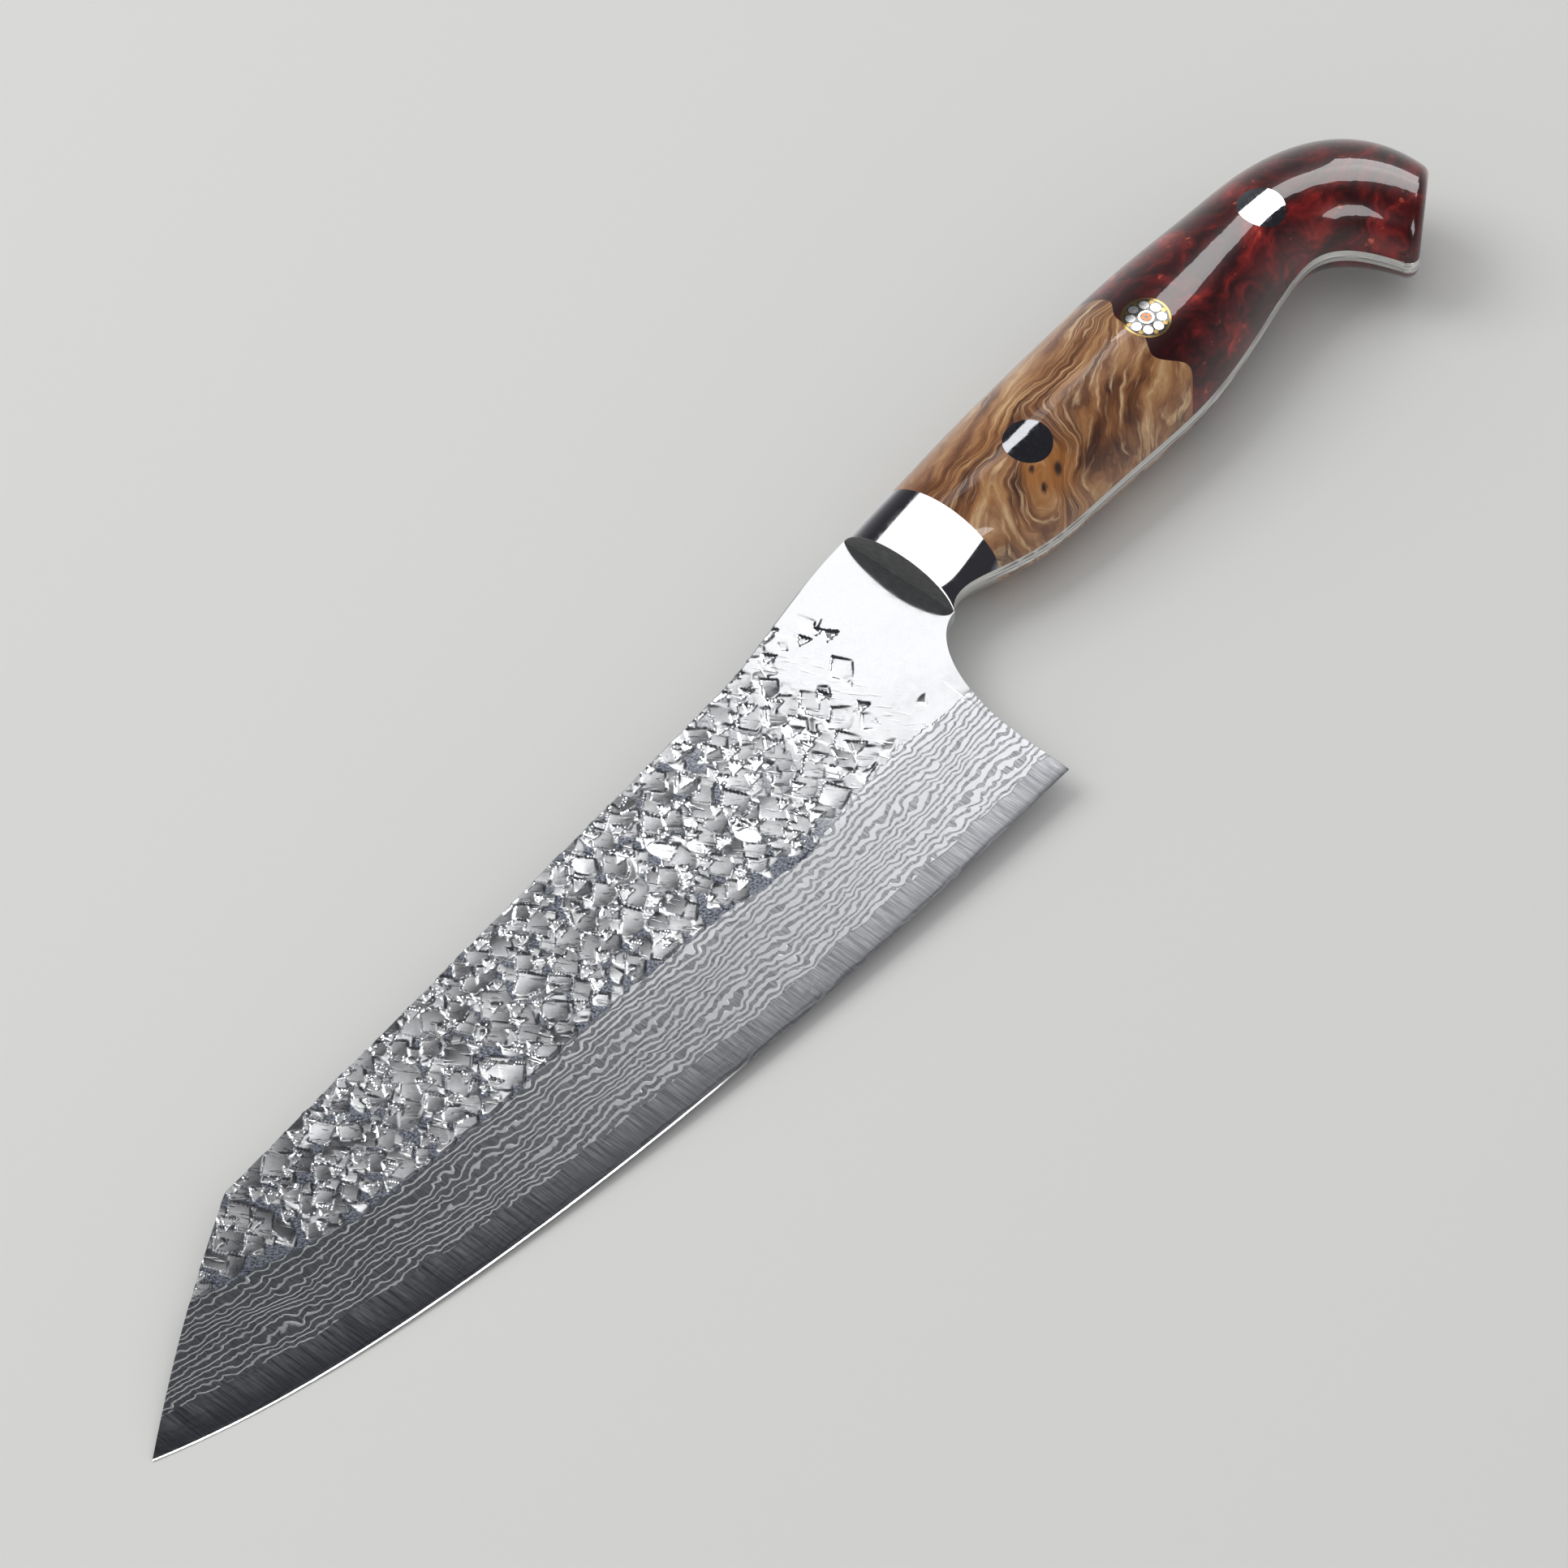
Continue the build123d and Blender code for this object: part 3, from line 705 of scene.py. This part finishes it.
def make_tang():
    """The tang's strip round the handle: the solids' own shape behind the bolster face."""
    shape = bmesh.new()
    for node in TANG_NODES:
        shape.from_mesh(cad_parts[node].data)
    bmesh.ops.remove_doubles(shape, verts=shape.verts, dist=WELD_DISTANCE)
    bmesh.ops.bisect_plane(
        shape, geom=shape.verts[:] + shape.edges[:] + shape.faces[:],
        plane_co=ORIGIN, plane_no=TURN @ Vector((-1, 0, 0)), clear_outer=True)
    bmesh.ops.holes_fill(shape, edges=[e for e in shape.edges if e.is_boundary])
    mesh = bpy.data.meshes.new("tang")
    shape.to_mesh(mesh)
    shape.free()
    mesh.set_sharp_from_angle(angle=TANG_SHARP_ANGLE)
    mesh.materials.append(tang_material())
    tang = bpy.data.objects.new("tang", mesh)
    bpy.context.collection.objects.link(tang)
    return tang


# ------------------------------------------------------------------ handle materials
BOLSTER_CROWN = 0.0041    # how fast the polished side leans, over a millimetre of Y
BOLSTER_FLAT_Y = -4.3     # where it doesn't lean
BOLSTER_MIDDLE_Y = 2.4    # the rims are this half height above and below it
BOLSTER_HALF_HEIGHT = 11.0

PIN_FLATNESS = 0.3        # share of the rear pin's reflections that are a flat face's
BETWEEN_PINS = (55.0, 65.0)  # X behind which a pin counts as the rear one

GRAIN_ANGLE = math.radians(39)
GRAIN_COS, GRAIN_SIN = math.cos(GRAIN_ANGLE), math.sin(GRAIN_ANGLE)
KNOTS = ((24.7, -3.6, 0.8), (27.9, -6.2, 1.15), (23.9, -6.6, 0.85))  # X, Y, size
KNOT_MIDDLE = (26.2, -5.4)  # the grain closes to rings round here


def bolster_steel():
    """A brushed front face and mirror sides, crowned so little that they take in
    one broad light, and turning down only near the rims."""
    material, n = new_material("bolster_steel")
    place = n.knife_place()
    x, y, z = n.split(place)
    is_front = n.step(x, 0.06, 0.02)
    streak = n.noise(place, (1.0, 0.6, 9.0), detail=3.0)
    brushed = n.mix(n.step(streak, 0.3, 0.7), (0.30, 0.30, 0.29), (0.66, 0.66, 0.64))
    haze = n.noise(place, (0.8, 0.8, 0.8), detail=4.0)
    shine = n.step(haze, 0.3, 0.8, 0.02, 0.06, smooth=False)

    far = n.math("DIVIDE", n.math("SUBTRACT", y, BOLSTER_MIDDLE_Y), BOLSTER_HALF_HEIGHT)
    rim = n.math("MULTIPLY", far, n.math("POWER", n.math("ABSOLUTE", far), 8.0))
    lean = n.math("MULTIPLY", n.math("SUBTRACT", y, BOLSTER_FLAT_Y), BOLSTER_CROWN)
    lean = n.math("MULTIPLY_ADD", rim, 1.3, lean)
    is_lip = n.math("MULTIPLY", n.step(x, 0.42, 0.34), n.step(y, -1.0, -1.6))
    lean = n.math("MULTIPLY", lean, n.math("SUBTRACT", 1.0, is_lip))
    outward = n.turned(n.add("ShaderNodeCombineXYZ", 0.0, lean, n.math("SIGN", z)))
    outward = n.vector("NORMALIZE", outward)
    facing = n.add("ShaderNodeNewGeometry", out=1)
    n.surface(Base_Color=n.mix(is_front, (0.90, 0.90, 0.91), brushed), Metallic=1.0,
              Roughness=n.mix(is_front, shine, 0.42, "FLOAT"),
              Normal=n.mix(is_front, outward, facing, "VECTOR"))
    return material


def pin_steel():
    """Steel pins ground with the handle; the rear one came out flatter."""
    material, n = new_material("pin_steel")
    place = n.knife_place()
    x, _, z = n.split(place)
    haze = n.noise(place, (1.5, 1.5, 1.5), detail=5.0, rough=0.65)
    upward = n.turned(n.add("ShaderNodeCombineXYZ", 0.0, 0.0, n.math("SIGN", z)))
    facing = n.add("ShaderNodeNewGeometry", out=1)
    flatness = n.step(x, *BETWEEN_PINS, 0.0, PIN_FLATNESS)
    normal = n.vector("NORMALIZE", n.mix(flatness, facing, upward, "VECTOR"))
    n.surface(Base_Color=n.mix(haze, (0.42, 0.43, 0.46), (0.66, 0.67, 0.69)),
              Metallic=1.0, Roughness=n.step(haze, 0.3, 0.8, 0.02, 0.12, smooth=False),
              Normal=normal)
    return material


def along_grain(n, x, y):
    """x and y as a length along the wood's grain and one across it."""
    along = n.math("MULTIPLY_ADD", x, GRAIN_COS, n.math("MULTIPLY", y, GRAIN_SIN))
    across = n.math("MULTIPLY_ADD", x, GRAIN_SIN, n.math("MULTIPLY", y, -GRAIN_COS))
    return along, across


def oval_distance(n, x, y, middle, squash):
    """Distance from a middle, counted less along the grain."""
    off_x, off_y = (n.math("SUBTRACT", value, of) for value, of in zip((x, y), middle))
    along, across = along_grain(n, off_x, off_y)
    along = n.math("MULTIPLY", along, squash)
    square = n.math("MULTIPLY_ADD", along, along, n.math("MULTIPLY", across, across))
    return n.math("SQRT", square)


def burl_grain(n, place):
    """A place in the wood as across the grain, along it and deep: the grain runs
    aslant, turns along the back, and closes to rings round the knots."""
    broad = n.drift(place, (0.05,) * 3, (13.0,) * 3, detail=1.0)
    fine = n.drift(place, (0.17,) * 3, (3.6,) * 3, detail=2.0)
    x, y, z = n.split(n.vector("ADD", n.vector("ADD", place, broad), fine))
    along, across = along_grain(n, x, y)
    back = n.math("MULTIPLY_ADD", x, 0.16, n.math("MULTIPLY", y, -1.0))
    across = n.mix(n.step(y, 1.0, 8.0), across, back, "FLOAT")
    away = oval_distance(n, x, y, KNOT_MIDDLE, 0.5)
    across = n.mix(n.step(away, 8.5, 2.0), across, away, "FLOAT")
    return n.add("ShaderNodeCombineXYZ", across, along, z)


def burl_wood():
    """Stabilised maple burl: brown and cream streaks, a golden sheen painted along the grain,
    and a few dark eyes.
    """
    material, n = new_material("burl")
    place = n.knife_place()
    grain = burl_grain(n, place)
    broad = n.noise(grain, (0.15, 0.05, 0.10))
    bands = n.noise(grain, (0.42, 0.07, 0.15), detail=3.0)
    fibre = n.noise(grain, (3.0, 0.40, 0.6), detail=4.0, rough=0.7)
    tone = n.math("MULTIPLY_ADD", broad, 0.68, n.math("MULTIPLY", bands, 0.62))
    tone = n.math("MULTIPLY_ADD", fibre, 0.22, tone)
    colour = n.ramp(tone, [(0.58, (0.060, 0.017, 0.005)), (0.69, (0.150, 0.050, 0.014)),
                           (0.78, (0.270, 0.108, 0.034)), (0.88, (0.410, 0.205, 0.078)),
                           (0.98, (0.580, 0.370, 0.190))])
    # Painted sheen: golden streaks along the grain stand in for the wood's shimmer in the
    # light.
    shine = n.noise(grain, (0.80, 0.07, 0.2), detail=3.0, distortion=0.5)
    shine = n.math("MULTIPLY", n.step(shine, 0.50, 0.76), n.step(fibre, 0.35, 0.60, 0.5, 1.0))
    colour = n.mix(n.math("MULTIPLY", shine, 0.8), colour, (0.78, 0.54, 0.30))

    x, y, _ = n.split(place)
    for *middle, size in KNOTS:
        away = oval_distance(n, x, y, middle, 0.6)
        away = n.math("MULTIPLY_ADD", n.math("SUBTRACT", fibre, 0.5), 0.9, away)
        halo = n.step(away, 3.4 * size, 0.9 * size)
        colour = n.mix(n.math("MULTIPLY", halo, 0.7), colour, (0.36, 0.125, 0.018))
        eye = n.step(away, 0.85 * size, 0.25 * size)
        colour = n.mix(eye, colour, (0.035, 0.012, 0.006))
    n.surface(Base_Color=colour, Roughness=0.35, Specular_IOR_Level=0.3,
              Coat_Weight=1.0, Coat_Roughness=0.03, Normal=n.bump(fibre, 0.012))
    return material


def red_resin():
    """Deep red, with brighter clouds, wisps and flecks of mica."""
    material, n = new_material("red_resin")
    place = n.knife_place()
    warp = n.drift(place, (0.09,) * 3, (18.0, 18.0, 12.0), detail=3.0)
    curled = n.vector("ADD", place, warp)
    cloud = n.noise(curled, (0.10, 0.12, 0.12), detail=3.0)
    wisp = n.noise(curled, (0.16, 0.50, 0.30), detail=5.0, rough=0.62)
    fleck = n.noise(place, (0.42, 0.50, 0.45))
    tone = n.math("MULTIPLY_ADD", cloud, 0.65, n.math("MULTIPLY", wisp, 0.45))
    colour = n.ramp(tone, [(0.48, (0.026, 0.0010, 0.0015)), (0.58, (0.090, 0.0035, 0.0040)),
                           (0.67, (0.230, 0.012, 0.010)), (0.74, (0.480, 0.044, 0.026)),
                           (0.82, (0.700, 0.170, 0.095))])
    spark = n.math("MULTIPLY", n.step(fleck, 0.66, 0.74), n.step(cloud, 0.42, 0.60))
    colour = n.mix(n.math("MULTIPLY", spark, 0.7), colour, (0.72, 0.14, 0.07))
    n.surface(Base_Color=colour, Roughness=0.30, Specular_IOR_Level=0.2,
              Coat_Weight=1.0, Coat_Roughness=0.02,
              Subsurface_Weight=0.15, Subsurface_Radius=(0.6, 0.08, 0.06),
              Subsurface_Scale=0.002)
    return material


def plain_metal(name, dark, light, rough):
    """One metal all over, a little uneven in colour."""
    material, n = new_material(name)
    grain = n.noise(n.knife_place(), (2.5, 2.5, 2.5), detail=4.0)
    n.surface(Base_Color=n.mix(grain, dark, light), Metallic=1.0,
              Roughness=rough, Normal=n.bump(grain, 0.001))
    return material


def dark_epoxy():
    """Black epoxy, polished."""
    material, n = new_material("dark_epoxy")
    grain = n.noise(n.knife_place(), (2.0, 2.0, 2.0), detail=3.0)
    n.surface(Base_Color=n.mix(grain, (0.006, 0.006, 0.006), (0.03, 0.03, 0.028)),
              Roughness=0.2, Coat_Weight=1.0, Coat_Roughness=0.05)
    return material


def dress_handle():
    """Gives every CAD node but the blade's its material."""
    brass = plain_metal("brass_tube", (0.30, 0.19, 0.06), (0.52, 0.36, 0.14), 0.16)
    copper = plain_metal("copper_wire", (0.34, 0.10, 0.04), (0.55, 0.18, 0.08), 0.22)
    bright = plain_metal("petal_steel", (0.84, 0.84, 0.83), (0.95, 0.95, 0.94), 0.16)
    epoxy = dark_epoxy()
    looks = {  # by how a node's name starts; the longest that fits counts
        "bolster": bolster_steel(), "pin": pin_steel(), "scale_burl": burl_wood(),
        "scale_resin": red_resin(), "mosaic_tube": brass, "mosaic_rim_wires": brass,
        "mosaic_hub_wires": copper, "mosaic_hub": bright, "mosaic_petal": bright,
        "mosaic_filler": epoxy, "mosaic_hub_filler": epoxy}
    for name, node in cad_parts.items():
        if name in TANG_NODES:
            continue
        best = max((key for key in looks if name.startswith(key)), key=len)
        if not node.material_slots:
            node.data.materials.append(None)
        for slot in node.material_slots:
            slot.link = "OBJECT"
            slot.material = looks[best]


# ------------------------------------------------------------------ all together
make_camera()
make_world()
make_floor()
for name, middle, size, turn, radiance, diffuse in PANELS:
    make_panel(name, (*middle, PANEL_HEIGHT), (*middle, 0), size, radiance,
               math.radians(turn), diffuse=diffuse)
make_panel("fill", FILL_PLACE, (0, 0, 0), FILL_SIZE, FILL_RADIANCE, glossy=False)

blade = make_blade()
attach(blade, "root")
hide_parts(*TANG_NODES)
tang = make_tang()
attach(tang, "root")
dress_handle()

view = bpy.context.scene.view_settings
view.view_transform = "Standard"
